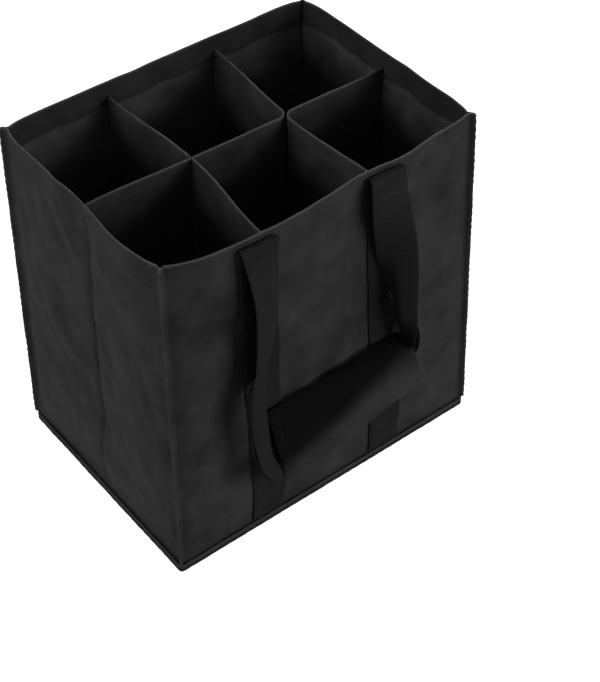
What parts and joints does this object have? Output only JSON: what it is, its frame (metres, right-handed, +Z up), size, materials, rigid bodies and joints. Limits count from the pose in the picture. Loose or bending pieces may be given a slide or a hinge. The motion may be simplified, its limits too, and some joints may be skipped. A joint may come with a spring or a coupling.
{
  "type": "six-compartment bottle carrier bag",
  "caption": "Open rectangular fabric bag with sewn dividers that keep bottles apart, carried by webbing handles with sleeve grips.",
  "frame": {"origin": "centre of the base on the surface that the bag stands on", "axes": "+X along the long side, from left to right seen from the front; -Y out of the front panel, which carries the shown handle; +Z up"},
  "size_m": [0.2874, 0.2848, 0.2954],
  "materials": {
    "fabric": "plain black woven polyester, softly satin",
    "webbing": "black ribbed webbing, matte",
    "grip_fabric": "black fabric sleeve with a sewn edge, softly satin"
  },
  "bodies": {
    "root": {"front_panel": "fabric", "back_panel": "fabric", "left_panel": "fabric", "right_panel": "fabric", "base_panel": "fabric", "corner_seam_front_left": "fabric", "corner_seam_front_right": "fabric", "corner_seam_back_left": "fabric", "corner_seam_back_right": "fabric", "base_seam": "fabric", "divider_left_to_back": "fabric", "divider_right_to_front": "fabric", "cross_divider_back": "fabric", "cross_divider_front": "fabric", "front_webbing": "webbing", "back_webbing": "webbing", "front_grip": "grip_fabric", "back_grip": "grip_fabric"}
  },
  "joints": []
}
